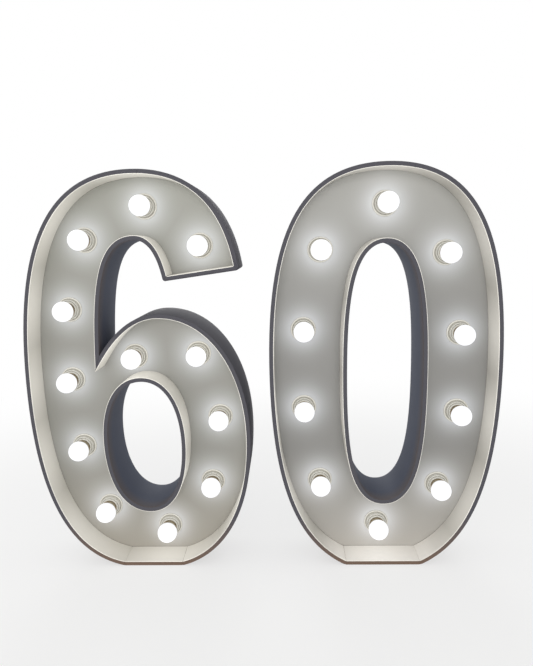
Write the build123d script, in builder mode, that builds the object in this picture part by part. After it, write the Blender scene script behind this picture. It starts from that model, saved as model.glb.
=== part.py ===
"""A light up marquee number: a six and a nought that stand side by side on the floor.

Each numeral is a deep tray. Strips of foamed PVC sheet are bent round its outline and its
counter, a panel is glued in behind the recess, and lampholders are clamped through the panel.
Behind the panel lie the flex and a terminal block, under a rear cover screwed to posts.

The frame: +X to the right as seen from the front, -Y towards the viewer, +Z up. The origin
lies on the floor, midway between the outer sides and halfway through the depth.
All lengths are millimetres.
"""

import math
import os

from build123d import *

os.makedirs("parts", exist_ok=True)

# Driving dimensions of the numerals
numeral_height = 900.0
six_width = 498.0
zero_width = 504.0
numeral_gap = 46.0
numeral_depth = 120.0

# Sheets and joints
wall = 10.0
panel_thickness = 10.0
rear_room = 46.0
cover_thickness = 3.0
cover_inset = 5.0
glue_gap = 0.2
base_round = 30.0
terminal_round = 6.0
overrun = 20.0
spline_tolerance = 0.01

# The strokes between the outlines and the openings through the numerals
six_left_stroke = 174.0
six_right_stroke = 156.0
six_foot_stroke = 145.5
six_bowl_stroke = 150.4
zero_side_stroke = 169.5
zero_foot_stroke = 160.0
zero_top_stroke = 164.0
counter_lean = 10.0

# Lamps: a golf-ball bulb on an E27 cap
globe_radius = 22.5
bulb_length = 80.0
neck_radius = 14.5
cap_radius = 13.2
cap_length = 24.0
tip_radius = 5.0
tip_length = 3.0
globe_ahead = 41.0
seat_gap = 0.3

# Lampholders: a barrel through the panel, clamped by a screwed ring
barrel_radius = 20.0
barrel_ahead = 14.0
mouth_radius = 16.5
mouth_depth = 8.0
housing_radius = 24.0
housing_length = 20.0
ring_radius = 28.75
ring_thickness = 2.5
collar_radius = 23.3
collar_ahead = 10.0
thread_gap = 0.2
six_bulbs = 12
zero_bulbs = 10

# Rear cover fixings
post_side = 20.0
post_offset = 40.0
screw_radius = 1.75
screw_head_radius = 3.5
screw_head_length = 1.75
screw_length = 16.0
pilot_gap = 0.1

# Wiring in the rear cavity
flex_width = 6.0
flex_thickness = 3.5
flex_bend = 6.0
flex_entry = 7.0
flex_rise = 8.0
tail_entry = 11.0
tail_slack = 4.5
block_length = 20.0
block_width = 16.0
block_height = 12.0
block_step = 6.0
block_top_width = 9.0
block_bore_radius = 2.0
grommet_bore_radius = 4.0
grommet_waist_radius = 6.2
grommet_flange_radius = 9.0
grommet_flange_thickness = 2.0
grommet_across = 55.0
grommet_drop = 18.0

# The six's outline: corners of its curves as shares of its half width and its height
six_top_shares = (0.065, 1.0)
six_left_shares = (-1.0, 0.482)
six_base_left_shares = (-0.23, 0.0)
six_base_right_shares = (0.33, 0.0)
six_right_shares = (1.0, 0.344)
six_bowl_top_shares = (0.21, 0.661)
six_crotch_shares = (-0.32, 0.56)
six_arch_shares = (0.051, 0.838)
six_terminal_outer_shares = (0.945, 0.762)
six_terminal_inner_shares = (0.288, 0.739)
six_crown_aim_share = 0.82
six_foot_aim_share = 0.049
six_bowl_aim_share = -0.08
six_throat_aim_share = -0.283
six_hook_aim_share = 0.226
six_throat_open_shares = (-0.24, 0.69)
six_crown_joint_share = 0.12

# The nought's outline, the same way
zero_side_share = 0.519
zero_base_share = 0.345
zero_foot_aim_share = 0.092
zero_joint_share = 0.22

# How far each curve is pulled towards its aim, at its start and at its end
six_crown_pull_shares = (0.63, 0.69)
six_back_pull_shares = (0.74, 0.615)
six_foot_pull_shares = (0.68, 0.655)
six_bowl_foot_pull_shares = (0.54, 0.70)
six_bowl_side_pull_shares = (0.57, 0.59)
six_bowl_top_pull_shares = (0.70, 0.60)
six_throat_pull_shares = (0.63, 0.82)
six_hook_pull_shares = (0.82, 0.50)
zero_shoulder_pull_shares = (0.735, 0.665)
zero_foot_pull_shares = (0.71, 0.66)
six_counter_pull_shares = (0.59, 0.625)
zero_counter_pull_shares = (0.5, 0.9)
six_line_pull_shares = (0.67, 0.67)
six_line_bowl_pull_shares = (0.36, 0.99)
zero_line_pull_shares = (0.45, 0.85)

# The lines on which the bulbs stand
first_bulb_inset = 64.0
first_bulb_lean = 16.0
last_bulb_drop = 31.0
six_line_rise = 55.0
six_line_outset = 3.0
zero_line_outset = 6.0
six_last_bulb_share = -0.063
zero_first_bulb_share = 0.2532


def flat_point(width, shares):
    """A point of a numeral's outline, from shares of its half width and its height."""
    return Vector(width / 2 * shares[0], numeral_height * shares[1])


def curve(start, aim, end, start_share, end_share):
    """A smooth curve that leaves its start and reaches its end along lines to the aim."""
    leave = start + (aim - start) * start_share
    arrive = end + (aim - end) * end_share
    return Bezier(start, leave, arrive, end)


def oval(left, right, top, bottom, side_share, end_share):
    """A closed curve through its four extreme points."""
    curve(top, Vector(right.X, top.Y), right, end_share, side_share)
    curve(right, Vector(right.X, bottom.Y), bottom, side_share, end_share)
    curve(bottom, Vector(left.X, bottom.Y), left, end_share, side_share)
    curve(left, Vector(left.X, top.Y), top, side_share, end_share)


def layer(centre_x, depth):
    """An upright plane that faces the viewer, at a depth behind the front edges."""
    origin = (centre_x, depth - numeral_depth / 2, 0)
    return Plane(origin=origin, x_dir=(1, 0, 0), z_dir=(0, -1, 0))


def level_with(point, other):
    """The point straight above or below one point, at the height of another."""
    return Vector(point.X, other.Y)


def halfway(a, b):
    """The point midway between two points."""
    return (a + b) / 2


def nearest(sketch, point):
    """The corner of a sketch that lies nearest to a point."""
    return sketch.vertices().sort_by_distance(point)[0]


def parallel(sketch, distance):
    """The sketch inside a line at a distance outside another sketch's edge, or within it if negative."""
    with BuildSketch() as moved:
        add(sketch)
        offset(amount=distance)
    return moved.sketch.to_splines(tolerance=spline_tolerance)


def save(part, name):
    """Label a finished piece and write it to its own file."""
    part.label = name
    export_step(part, f"parts/{name}.step")


# Places worked out from the driving dimensions
six_x = -(zero_width + numeral_gap) / 2
zero_x = (six_width + numeral_gap) / 2
panel_rear = numeral_depth - rear_room
recess = panel_rear - panel_thickness
cover_rear = numeral_depth - cover_inset
cover_front = cover_rear - cover_thickness

# The six's outline, about its own centre line
six_top = flat_point(six_width, six_top_shares)
six_left = flat_point(six_width, six_left_shares)
six_base_left = flat_point(six_width, six_base_left_shares)
six_base_right = flat_point(six_width, six_base_right_shares)
six_right = flat_point(six_width, six_right_shares)
six_bowl_top = flat_point(six_width, six_bowl_top_shares)
six_crotch = flat_point(six_width, six_crotch_shares)
six_arch = flat_point(six_width, six_arch_shares)
six_terminal_outer = flat_point(six_width, six_terminal_outer_shares)
six_terminal_inner = flat_point(six_width, six_terminal_inner_shares)
six_crown_aim = flat_point(six_width, (six_crown_aim_share, six_top_shares[1]))
six_foot_left_aim = flat_point(six_width, (six_left_shares[0], six_foot_aim_share))
six_foot_right_aim = flat_point(six_width, (six_right_shares[0], six_foot_aim_share))
six_bowl_aim = flat_point(six_width, (six_bowl_aim_share, six_bowl_top_shares[1]))
six_throat_aim = flat_point(six_width, (six_throat_aim_share, six_arch_shares[1]))
six_hook_aim = flat_point(six_width, (six_hook_aim_share, six_arch_shares[1]))

with BuildSketch() as six_sharp:
    with BuildLine():
        curve(six_terminal_outer, six_crown_aim, six_top, *six_crown_pull_shares)
        curve(six_top, level_with(six_left, six_top), six_left, *six_back_pull_shares)
        curve(six_left, six_foot_left_aim, six_base_left, *six_foot_pull_shares)
        Line(six_base_left, six_base_right)
        curve(six_base_right, six_foot_right_aim, six_right, *six_bowl_foot_pull_shares)
        bowl_corner = level_with(six_right, six_bowl_top)
        curve(six_right, bowl_corner, six_bowl_top, *six_bowl_side_pull_shares)
        curve(six_bowl_top, six_bowl_aim, six_crotch, *six_bowl_top_pull_shares)
        curve(six_crotch, six_throat_aim, six_arch, *six_throat_pull_shares)
        curve(six_arch, six_hook_aim, six_terminal_inner, *six_hook_pull_shares)
        Line(six_terminal_inner, six_terminal_outer)
    make_face()

with BuildSketch() as six_outline:
    add(six_sharp.sketch)
    feet = [nearest(six_outline, foot) for foot in (six_base_left, six_base_right)]
    fillet(feet, radius=base_round)
    tips = [nearest(six_outline, tip) for tip in (six_terminal_outer, six_terminal_inner)]
    fillet(tips, radius=terminal_round)

# Inside the walls the two strips at the crotch run on until they meet in a sharp V
throat_way = (six_throat_aim - six_crotch).normalized()
bowl_way = (six_bowl_aim - six_crotch).normalized()
crotch_half_angle = throat_way.get_angle(bowl_way) / 2


def crotch_corner(distance):
    """The corner of the V at a distance behind both faces of the crotch."""
    reach = distance / math.sin(math.radians(crotch_half_angle))
    return six_crotch - (throat_way + bowl_way).normalized() * reach


def six_within(distance):
    """The six's outline drawn in by a distance."""
    with BuildSketch() as within:
        add(parallel(six_sharp.sketch, -distance))
        with BuildLine():
            throat_foot = six_crotch + throat_way.rotate(Axis.Z, 90) * distance
            bowl_foot = six_crotch + bowl_way.rotate(Axis.Z, -90) * distance
            Polyline(six_crotch, throat_foot, crotch_corner(distance), bowl_foot, close=True)
        make_face(mode=Mode.SUBTRACT)
    return within


six_inside = six_within(wall)
six_sheet = six_within(wall + glue_gap)
crotch_inner = crotch_corner(wall)

# The six's opening, which leans a little, in the box that its strokes leave
six_counter_low = Vector(six_left_stroke - six_width / 2, six_foot_stroke)
six_counter_high = Vector(six_width / 2 - six_right_stroke, six_bowl_top.Y - six_bowl_stroke)
six_counter_middle = halfway(six_counter_low, six_counter_high)

with BuildSketch() as six_counter:
    with BuildLine():
        oval(
            Vector(six_counter_low.X, six_counter_middle.Y + counter_lean),
            level_with(six_counter_high, six_counter_middle),
            level_with(six_counter_middle, six_counter_high),
            Vector(six_counter_middle.X + counter_lean / 2, six_counter_low.Y),
            *six_counter_pull_shares,
        )
    make_face()

# The nought's outline, one half drawn and mirrored
zero_top = flat_point(zero_width, (0, 1))
zero_side = flat_point(zero_width, (1, zero_side_share))
zero_base = flat_point(zero_width, (zero_base_share, 0))
zero_foot_aim = flat_point(zero_width, (1, zero_foot_aim_share))

with BuildSketch() as zero_sharp:
    with BuildLine():
        curve(zero_top, level_with(zero_side, zero_top), zero_side, *zero_shoulder_pull_shares)
        curve(zero_side, zero_foot_aim, zero_base, *zero_foot_pull_shares)
        mirror(about=Plane.YZ)
        Line(zero_base, Vector(-zero_base.X, zero_base.Y))
    make_face()

with BuildSketch() as zero_outline:
    add(zero_sharp.sketch)
    fillet(zero_outline.vertices().group_by(Axis.Y)[0], radius=base_round)

with BuildSketch() as zero_inside:
    add(parallel(zero_sharp.sketch, -wall))

with BuildSketch() as zero_sheet:
    add(parallel(zero_sharp.sketch, -wall - glue_gap))

zero_counter_low = Vector(zero_side_stroke - zero_width / 2, zero_foot_stroke)
zero_counter_high = Vector(zero_width / 2 - zero_side_stroke, numeral_height - zero_top_stroke)
zero_counter_middle = halfway(zero_counter_low, zero_counter_high)

with BuildSketch() as zero_counter:
    with BuildLine():
        oval(
            level_with(zero_counter_low, zero_counter_middle),
            level_with(zero_counter_high, zero_counter_middle),
            level_with(zero_counter_middle, zero_counter_high),
            level_with(zero_counter_middle, zero_counter_low),
            *zero_counter_pull_shares,
        )
    make_face()

# The lines along the trays on which the bulbs stand at equal spaces, a little outside the middle
six_counter_top = Vector(six_counter_middle.X, six_counter_high.Y + wall)
six_counter_bottom = Vector(0, six_counter_low.Y - wall)
six_counter_right = Vector(six_counter_high.X + wall, six_counter_middle.Y)
terminal_way = (six_terminal_outer - six_terminal_inner).normalized()
first_bulb = halfway(six_terminal_outer, six_terminal_inner)
first_bulb += terminal_way.rotate(Axis.Z, 90) * first_bulb_inset
line_top = halfway(six_top, six_arch)
line_left = Vector(halfway(six_left, six_crotch).X - six_line_outset, six_left.Y + six_line_rise)
line_bottom = halfway(Vector(0, 0), six_counter_bottom) - Vector(0, six_line_outset)
line_right = Vector(halfway(six_right, six_counter_right).X, six_right.Y + six_line_rise)
line_bowl = halfway(six_bowl_top, six_counter_top) - Vector(0, six_line_outset)
last_bulb = Vector(six_width / 2 * six_last_bulb_share, line_bowl.Y - last_bulb_drop)
first_aim = Vector(first_bulb.X - first_bulb_lean, line_top.Y)
last_aim = Vector(halfway(last_bulb, line_bowl).X, line_bowl.Y)

with BuildLine() as six_bulb_line:
    curve(first_bulb, first_aim, line_top, *six_line_pull_shares)
    curve(line_top, level_with(line_left, line_top), line_left, *six_line_pull_shares)
    curve(line_left, level_with(line_left, line_bottom), line_bottom, *six_line_pull_shares)
    curve(line_bottom, level_with(line_right, line_bottom), line_right, *six_line_pull_shares)
    curve(line_right, level_with(line_right, line_bowl), line_bowl, *six_line_bowl_pull_shares)
    curve(line_bowl, last_aim, last_bulb, *six_line_pull_shares)

zero_counter_side = Vector(zero_counter_high.X + wall, zero_counter_middle.Y)
zero_counter_top = Vector(0, zero_counter_high.Y + wall)
zero_counter_bottom = Vector(0, zero_counter_low.Y - wall)
zero_line_side = Vector(halfway(zero_side, zero_counter_side).X + zero_line_outset, zero_counter_side.Y)
zero_line_bottom = halfway(Vector(0, wall), zero_counter_bottom) - Vector(0, zero_line_outset)

with BuildLine() as zero_bulb_line:
    oval(
        Vector(-zero_line_side.X, zero_line_side.Y),
        zero_line_side,
        halfway(zero_top, zero_counter_top) - Vector(0, zero_line_outset / 2),
        zero_line_bottom,
        *zero_line_pull_shares,
    )

# Where the bulbs and the rear cover's posts stand
six_line = six_bulb_line.wire()
zero_line = zero_bulb_line.wire()
six_space = 1 / (six_bulbs - 1)
zero_space = 1 / zero_bulbs


def beside(line, share, distance):
    """A point at a distance to the left of a line, level with a share of its length."""
    across = (line % share).rotate(Axis.Z, 90)
    return line @ share + across * distance


six_places = [six_line @ (i * six_space) for i in range(six_bulbs)]
six_post_places = [
    beside(six_line, (i + 0.5) * six_space, -post_offset)
    for i in range(0, six_bulbs - 1, 2)
]
zero_places = [zero_line @ ((zero_first_bulb_share + i * zero_space) % 1) for i in range(zero_bulbs)]
zero_post_places = [
    beside(zero_line, (zero_first_bulb_share + (i + 0.5) * zero_space) % 1, post_offset)
    for i in range(0, zero_bulbs, 2)
]

# Regions of the outline's plane, each of which holds one of the six's wall strips
inner_tips = [Vector(*nearest(six_inside, tip)) for tip in (six_terminal_outer, six_terminal_inner)]
inner_feet = [Vector(*nearest(six_inside, foot)) for foot in (six_base_left, six_base_right)]
throat_open = flat_point(six_width, six_throat_open_shares)
far_right = six_right.X + overrun
crown_joint = six_width / 2 * six_crown_joint_share
crotch_bulb = min(range(six_bulbs // 2), key=lambda i: (six_places[i] - crotch_inner).length)
foot_bulb = min(range(six_bulbs), key=lambda i: (six_places[i] - inner_feet[1]).length)

with BuildSketch() as six_base_region:
    with BuildLine():
        Polyline(
            inner_feet[0],
            inner_feet[1],
            level_with(inner_feet[1], Vector(0, 0)),
            level_with(inner_feet[0], Vector(0, 0)),
            close=True,
        )
    make_face()

with BuildSketch() as six_terminal_region:
    with BuildLine():
        Polyline(six_terminal_outer, *inner_tips, six_terminal_inner, close=True)
    make_face()

with BuildSketch() as six_throat_region:
    with BuildLine():
        Polyline(
            six_terminal_inner,
            inner_tips[1],
            *six_places[: crotch_bulb + 1],
            crotch_inner,
            six_crotch,
            throat_open,
            close=True,
        )
    make_face()

with BuildSketch() as six_bowl_region:
    with BuildLine():
        Polyline(
            six_crotch,
            crotch_inner,
            *six_places[: foot_bulb - 1 : -1],
            inner_feet[1],
            Vector(inner_feet[1].X, -overrun),
            Vector(far_right, -overrun),
            Vector(far_right, throat_open.Y),
            throat_open,
            close=True,
        )
    make_face()

with BuildSketch() as six_crown_region:
    with BuildLine():
        Polyline(
            Vector(crown_joint, six_top.Y + overrun),
            Vector(far_right, six_top.Y + overrun),
            Vector(far_right, six_terminal_outer.Y),
            six_terminal_outer,
            inner_tips[0],
            six_places[0],
            level_with(Vector(crown_joint, 0), line_top),
            close=True,
        )
    make_face()

# The six's walls: bent strips that meet in mitres at the corners and in a butt joint at the crown
six_strips = {
    "base_strip": six_base_region,
    "terminal_strip": six_terminal_region,
    "throat_wall": six_throat_region,
    "bowl_wall": six_bowl_region,
    "crown_wall": six_crown_region,
}
for strip, region in six_strips.items():
    with BuildPart() as six_strip:
        with BuildSketch(layer(six_x, 0)):
            add(six_outline.sketch)
            add(six_inside.sketch, mode=Mode.SUBTRACT)
            add(region.sketch, mode=Mode.INTERSECT)
        extrude(amount=-numeral_depth)
    save(six_strip.part, f"six_{strip}")

with BuildPart() as six_spine_wall:
    with BuildSketch(layer(six_x, 0)):
        add(six_outline.sketch)
        add(six_inside.sketch, mode=Mode.SUBTRACT)
        for region in six_strips.values():
            add(region.sketch, mode=Mode.SUBTRACT)
    extrude(amount=-numeral_depth)
save(six_spine_wall.part, "six_spine_wall")

# The nought's walls: a left and a right strip that meet over the top, and the base between them
zero_foot = Vector(*nearest(zero_inside, zero_base))
zero_joint = zero_width / 2 * zero_joint_share
zero_far = zero_width / 2 + overrun

with BuildPart() as zero_base_strip:
    with BuildSketch(layer(zero_x, 0)):
        Rectangle(2 * zero_foot.X, wall, align=(Align.CENTER, Align.MIN))
    extrude(amount=-numeral_depth)
save(zero_base_strip.part, "zero_base_strip")

with BuildSketch() as zero_right_region:
    with BuildLine():
        Polyline(
            Vector(zero_joint, numeral_height + overrun),
            Vector(zero_far, numeral_height + overrun),
            Vector(zero_far, -overrun),
            Vector(zero_foot.X, -overrun),
            zero_foot,
            Vector(zero_joint, zero_side.Y),
            close=True,
        )
    make_face()

with BuildPart() as zero_right_wall:
    with BuildSketch(layer(zero_x, 0)):
        add(zero_outline.sketch)
        add(zero_inside.sketch, mode=Mode.SUBTRACT)
        add(zero_right_region.sketch, mode=Mode.INTERSECT)
    extrude(amount=-numeral_depth)
save(zero_right_wall.part, "zero_right_wall")

with BuildPart() as zero_left_wall:
    with BuildSketch(layer(zero_x, 0)):
        add(zero_outline.sketch)
        add(zero_inside.sketch, mode=Mode.SUBTRACT)
        add(zero_right_region.sketch, mode=Mode.SUBTRACT)
        Rectangle(
            2 * zero_foot.X,
            wall,
            align=(Align.CENTER, Align.MIN),
            mode=Mode.SUBTRACT,
        )
    extrude(amount=-numeral_depth)
save(zero_left_wall.part, "zero_left_wall")

# Turned pieces, drawn once with the panel's front face at zero and the depth along Y
tip_end = bulb_length - globe_radius - globe_ahead
bore_radius = cap_radius + seat_gap
hole_radius = barrel_radius + thread_gap
housing_end = panel_thickness + housing_length

with BuildPart() as bulb_shape:
    with BuildSketch():
        with BuildLine():
            globe = CenterArc(
                (0, -globe_ahead),
                globe_radius,
                -90,
                90 + math.degrees(math.acos(neck_radius / globe_radius)),
            )
            Polyline(
                globe @ 1,
                (cap_radius, tip_end - cap_length),
                (cap_radius, tip_end - tip_length),
                (tip_radius, tip_end),
                (0, tip_end),
                globe @ 0,
            )
        make_face()
    revolve(axis=Axis.Y)

with BuildPart() as lampholder_shape:
    with BuildSketch():
        with BuildLine():
            Polyline(
                (0, tip_end + seat_gap),
                (bore_radius, tip_end + seat_gap),
                (bore_radius, mouth_depth - barrel_ahead),
                (mouth_radius, mouth_depth - barrel_ahead),
                (mouth_radius, -barrel_ahead),
                (barrel_radius, -barrel_ahead),
                (barrel_radius, panel_thickness),
                (housing_radius, panel_thickness),
                (housing_radius, housing_end),
                (0, housing_end),
                close=True,
            )
        make_face()
    revolve(axis=Axis.Y)

with BuildPart() as ring_shape:
    with BuildSketch():
        with BuildLine():
            Polyline(
                (hole_radius, 0),
                (ring_radius, 0),
                (ring_radius, -ring_thickness),
                (collar_radius, -ring_thickness),
                (collar_radius, -collar_ahead),
                (hole_radius, -collar_ahead),
                close=True,
            )
        make_face()
    revolve(axis=Axis.Y)

with BuildPart() as screw_shape:
    with BuildSketch():
        with BuildLine():
            Polyline(
                (0, 0),
                (screw_head_radius, 0),
                (screw_radius, -screw_head_length),
                (screw_radius, -screw_length),
                (0, -screw_length),
                close=True,
            )
        make_face()
    revolve(axis=Axis.Y)

with BuildPart() as grommet_shape:
    with BuildSketch():
        with BuildLine():
            Polyline(
                (grommet_bore_radius, -cover_thickness - grommet_flange_thickness),
                (grommet_flange_radius, -cover_thickness - grommet_flange_thickness),
                (grommet_flange_radius, -cover_thickness),
                (grommet_waist_radius, -cover_thickness),
                (grommet_waist_radius, 0),
                (grommet_flange_radius, 0),
                (grommet_flange_radius, grommet_flange_thickness),
                (grommet_bore_radius, grommet_flange_thickness),
                close=True,
            )
        make_face()
    revolve(axis=Axis.Y)


def stand(centre_x, place, depth):
    """The point in space of a place on a numeral, at a depth behind the front edges."""
    return Vector(centre_x + place.X, depth - numeral_depth / 2, place.Y)


def rearwards(centre_x, place, depth):
    """A plane at that point, which faces the rear."""
    return Plane(origin=stand(centre_x, place, depth), x_dir=(-1, 0, 0), z_dir=(0, 1, 0))


numerals = (
    ("six", six_x, six_sheet, six_counter, six_places, six_post_places),
    ("zero", zero_x, zero_sheet, zero_counter, zero_places, zero_post_places),
)
for numeral, centre_x, sheet, counter, bulb_places, post_places in numerals:
    lowest = min(bulb_places, key=lambda place: place.Y)
    grommet_place = lowest + Vector(grommet_across, -grommet_drop)
    tail_turn = lowest + Vector(0, tail_entry + 2 * flex_bend + tail_slack)
    block_end = tail_turn + Vector(0, flex_bend + flex_thickness)
    block_place = block_end + Vector(0, block_length / 2)

    sheet_hole = parallel(counter.sketch, wall + glue_gap)

    # The strip that lines the opening
    with BuildPart() as counter_wall:
        with BuildSketch(layer(centre_x, 0)):
            add(parallel(counter.sketch, wall))
            add(counter.sketch, mode=Mode.SUBTRACT)
        extrude(amount=-numeral_depth)
    save(counter_wall.part, f"{numeral}_counter_wall")

    with BuildPart() as back_panel:
        with BuildSketch(layer(centre_x, recess)):
            add(sheet.sketch)
            add(sheet_hole, mode=Mode.SUBTRACT)
            with Locations(*bulb_places):
                Circle(hole_radius, mode=Mode.SUBTRACT)
        extrude(amount=-panel_thickness)
    save(back_panel.part, f"{numeral}_back_panel")

    with BuildPart() as rear_cover:
        with BuildSketch(layer(centre_x, cover_front)):
            add(sheet.sketch)
            add(sheet_hole, mode=Mode.SUBTRACT)
            with Locations(grommet_place):
                Circle(grommet_waist_radius + seat_gap, mode=Mode.SUBTRACT)
        extrude(amount=-cover_thickness)
        with Locations(*[rearwards(centre_x, place, cover_rear) for place in post_places]):
            CounterSinkHole(
                radius=screw_radius + pilot_gap,
                counter_sink_radius=screw_head_radius + pilot_gap,
                counter_sink_angle=90,
            )
    save(rear_cover.part, f"{numeral}_rear_cover")

    with BuildPart() as cover_posts:
        with BuildSketch(layer(centre_x, panel_rear)):
            with Locations(*post_places):
                Rectangle(post_side, post_side)
        extrude(amount=panel_rear - cover_front)
        with Locations(*[rearwards(centre_x, place, cover_front) for place in post_places]):
            Hole(radius=screw_radius + pilot_gap, depth=screw_length)
    save(cover_posts.part, f"{numeral}_cover_posts")

    with BuildPart() as cover_screws:
        with Locations(*[stand(centre_x, place, cover_rear) for place in post_places]):
            add(screw_shape.part)
    save(cover_screws.part, f"{numeral}_cover_screws")

    with BuildPart() as cord_grommet:
        with Locations(stand(centre_x, grommet_place, cover_rear)):
            add(grommet_shape.part)
    save(cord_grommet.part, f"{numeral}_cord_grommet")

    with BuildPart() as lampholders:
        with Locations(*[stand(centre_x, place, recess) for place in bulb_places]):
            add(lampholder_shape.part)
    save(lampholders.part, f"{numeral}_lampholders")

    with BuildPart() as lampholder_rings:
        with Locations(*[stand(centre_x, place, recess) for place in bulb_places]):
            add(ring_shape.part)
    save(lampholder_rings.part, f"{numeral}_lampholder_rings")

    for i, place in enumerate(bulb_places):
        with BuildPart() as bulb:
            with Locations(stand(centre_x, place, recess)):
                add(bulb_shape.part)
        save(bulb.part, f"{numeral}_bulb_{i + 1}")

    # Two-pole terminal block on the panel's rear, with its bores upright
    with BuildPart() as terminal_block:
        block_foot = stand(centre_x, block_place, panel_rear) - Vector(0, 0, block_length / 2)
        with BuildSketch(Plane(origin=block_foot, z_dir=(0, 0, 1))):
            with BuildLine():
                Polyline(
                    (-block_width / 2, 0),
                    (block_width / 2, 0),
                    (block_width / 2, block_step),
                    (block_top_width / 2, block_step),
                    (block_top_width / 2, block_height),
                    (-block_top_width / 2, block_height),
                    (-block_top_width / 2, block_step),
                    (-block_width / 2, block_step),
                    close=True,
                )
            make_face()
            with GridLocations(block_width / 2, 0, 2, 1):
                with Locations((0, block_step / 2)):
                    Circle(block_bore_radius, mode=Mode.SUBTRACT)
        extrude(amount=block_length)
    save(terminal_block.part, f"{numeral}_terminal_block")

    # Flat twin flex: a link from each lampholder to the next, and a tail to the block
    with BuildPart() as flex:
        housing_rear = recess + housing_end
        flex_run = housing_rear + flex_rise
        for start, end in zip(bulb_places, bulb_places[1:]):
            way = (end - start).normalized()
            leave = start + way * flex_entry
            arrive = end - way * flex_entry
            with BuildLine() as link_path:
                FilletPolyline(
                    stand(centre_x, leave, housing_rear),
                    stand(centre_x, leave, flex_run),
                    stand(centre_x, arrive, flex_run),
                    stand(centre_x, arrive, housing_rear),
                    radius=flex_bend,
                )
            across = (way.X, 0, way.Y)
            with BuildSketch(Plane(origin=link_path.line @ 0, x_dir=across, z_dir=(0, 1, 0))):
                Rectangle(flex_thickness, flex_width)
            sweep(path=link_path.line)
        entry = lowest + Vector(0, tail_entry)
        block_middle = panel_rear + block_step / 2
        with BuildLine() as tail_path:
            FilletPolyline(
                stand(centre_x, entry, housing_rear),
                stand(centre_x, entry, flex_run),
                stand(centre_x, tail_turn, flex_run),
                stand(centre_x, tail_turn, block_middle),
                stand(centre_x, block_end, block_middle),
                radius=flex_bend,
            )
        with BuildSketch(Plane(origin=tail_path.line @ 0, x_dir=(0, 0, 1), z_dir=(0, 1, 0))):
            Rectangle(flex_thickness, flex_width)
        sweep(path=tail_path.line)
    save(flex.part, f"{numeral}_flex")
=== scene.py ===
# %% [markdown]
# A light up marquee number is a pair of deep trays, a six and a nought, that stand side by side.
# Each tray has walls of foamed PVC sheet, charcoal outside and white inside, and a white panel at the
# bottom of the recess. Round lampholders stand in the panel, with a glowing globe in each.
# Every piece has its place in the model that is loaded here, so nothing is fitted by eye:
# this lesson copies some of its pieces, turns others on a lathe of its own, and finishes them all.

# %% Load the model and measure it
import math

import bpy
from mathutils import Matrix, Vector
from mathutils.bvhtree import BVHTree


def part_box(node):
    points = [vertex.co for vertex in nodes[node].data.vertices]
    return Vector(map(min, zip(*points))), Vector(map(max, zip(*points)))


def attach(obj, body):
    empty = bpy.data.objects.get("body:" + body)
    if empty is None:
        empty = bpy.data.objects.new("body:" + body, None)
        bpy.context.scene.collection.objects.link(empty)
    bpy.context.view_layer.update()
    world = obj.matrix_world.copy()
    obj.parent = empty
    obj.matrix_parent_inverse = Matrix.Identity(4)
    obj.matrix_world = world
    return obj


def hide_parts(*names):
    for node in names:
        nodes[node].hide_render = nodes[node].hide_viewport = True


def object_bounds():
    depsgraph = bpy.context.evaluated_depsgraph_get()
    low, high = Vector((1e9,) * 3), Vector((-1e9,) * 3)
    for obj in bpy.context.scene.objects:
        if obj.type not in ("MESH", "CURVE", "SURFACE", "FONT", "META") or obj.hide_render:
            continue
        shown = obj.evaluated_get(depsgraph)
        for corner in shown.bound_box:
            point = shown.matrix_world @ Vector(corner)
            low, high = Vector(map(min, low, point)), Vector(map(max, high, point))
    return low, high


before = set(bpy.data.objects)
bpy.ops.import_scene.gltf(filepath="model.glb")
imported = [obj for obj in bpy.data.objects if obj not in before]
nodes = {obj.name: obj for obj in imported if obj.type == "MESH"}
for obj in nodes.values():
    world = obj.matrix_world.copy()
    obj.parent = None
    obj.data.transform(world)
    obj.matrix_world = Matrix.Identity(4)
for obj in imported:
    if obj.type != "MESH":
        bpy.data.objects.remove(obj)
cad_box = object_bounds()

MM = 0.001
NUMERALS = ("six", "zero")
panel_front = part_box("six_back_panel")[0].y
panel_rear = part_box("six_back_panel")[1].y
cover_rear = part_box("six_rear_cover")[1].y
print("pieces", len(nodes), "box", [[round(c, 3) for c in corner] for corner in cad_box])

# %% [markdown]
# The bulbs give the places for almost everything that is turned: the lampholder, its ring and the bulb
# share one axis. That axis runs through the middle of the bulb's box, so it is read from the model. A
# lamp's place is where its axis meets the panel, and its globe's centre lies ahead of that.

# %% Find the lamps' places
def middle(box):
    """The point halfway between a box's two corners."""
    return (box[0] + box[1]) / 2


lamp_names = {n: sorted(name for name in nodes if name.startswith(f"{n}_bulb_")) for n in NUMERALS}
lamp_places = {}
for numeral in NUMERALS:
    for name in lamp_names[numeral]:
        centre = middle(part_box(name))
        lamp_places[name] = Vector((centre.x, panel_front, centre.z))
GLOBE_RADIUS = 22.5
GLOBE_AHEAD = 41
ahead = Vector((0, -GLOBE_AHEAD * MM, 0))
seats = {n: [lamp_places[name] for name in lamp_names[n]] for n in NUMERALS}
globe_centres = {n: [seat + ahead for seat in seats[n]] for n in NUMERALS}
print("lamps", {numeral: len(lamp_names[numeral]) for numeral in NUMERALS})

# %% [markdown]
# Operators act on whatever is selected. Each piece therefore starts from an empty selection, and a
# small helper selects one object and makes it the active one.

# %% Helpers for selecting
def deselect():
    """Leave nothing selected, so that the next operator starts clean."""
    bpy.ops.object.select_all(action="DESELECT")


def pick(piece):
    """Select one object alone and make it the active one."""
    deselect()
    piece.select_set(True)
    bpy.context.view_layer.objects.active = piece
    return piece


deselect()
print("selected", len(bpy.context.selected_objects))

# %% [markdown]
# Colours are picked as they look on a screen and written as hex values. The shader wants linear light,
# so one function turns them. A second one adds a node, sets it and links it, for all materials.

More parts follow.
